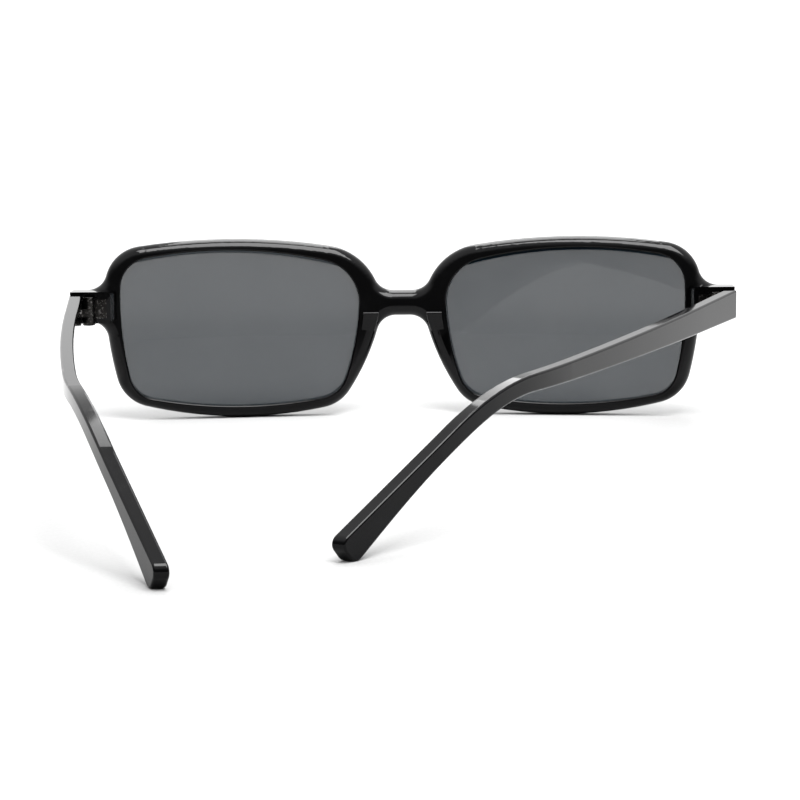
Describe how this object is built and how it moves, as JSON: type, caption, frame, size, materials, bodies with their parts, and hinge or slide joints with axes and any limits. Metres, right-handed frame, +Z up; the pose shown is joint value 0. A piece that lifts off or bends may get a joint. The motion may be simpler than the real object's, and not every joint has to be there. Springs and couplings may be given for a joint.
{
  "type": "sunglasses",
  "caption": "Narrow rounded rectangle sunglasses with smoke grey lenses, a glossy black plastic front and folding temples on barrel hinges.",
  "frame": {"origin": "on the surface the glasses stand on, under the middle of the bridge", "axes": "+X to the wearer's left, +Y from the front back towards the wearer, +Z up"},
  "size_m": [0.1383, 0.1548, 0.0376],
  "materials": {
    "black_plastic": "polished black acetate",
    "smoke_lens": "smooth smoke grey, see-through",
    "dark_metal": "dark, satin",
    "wire_metal": "plain drawn wire"
  },
  "bodies": {
    "front": {"front_frame": "black_plastic", "lens_left": "smoke_lens", "nose_pad_left": "black_plastic", "front_hinge_leaf_left": "dark_metal", "hinge_screw_left": "dark_metal", "front_rivets_left": "dark_metal", "lens_right": "smoke_lens", "nose_pad_right": "black_plastic", "front_hinge_leaf_right": "dark_metal", "hinge_screw_right": "dark_metal", "front_rivets_right": "dark_metal"},
    "left_temple": {"temple_left": "black_plastic", "core_wire_left": "wire_metal", "temple_hinge_leaf_left": "dark_metal", "temple_rivets_left": "dark_metal"},
    "right_temple": {"temple_right": "black_plastic", "core_wire_right": "wire_metal", "temple_hinge_leaf_right": "dark_metal", "temple_rivets_right": "dark_metal"}
  },
  "joints": [
    {"name": "left_temple_fold", "type": "hinge", "parent": "front", "child": "left_temple", "pos_m": [0.06505, 0.01277, 0.02416], "axis": [0, 0, 1], "range_deg": [-4.2, 12]},
    {"name": "right_temple_fold", "type": "hinge", "parent": "front", "child": "right_temple", "pos_m": [-0.06505, 0.01277, 0.02416], "axis": [0, 0, -1], "range_deg": [-24.7, 57.5]}
  ]
}
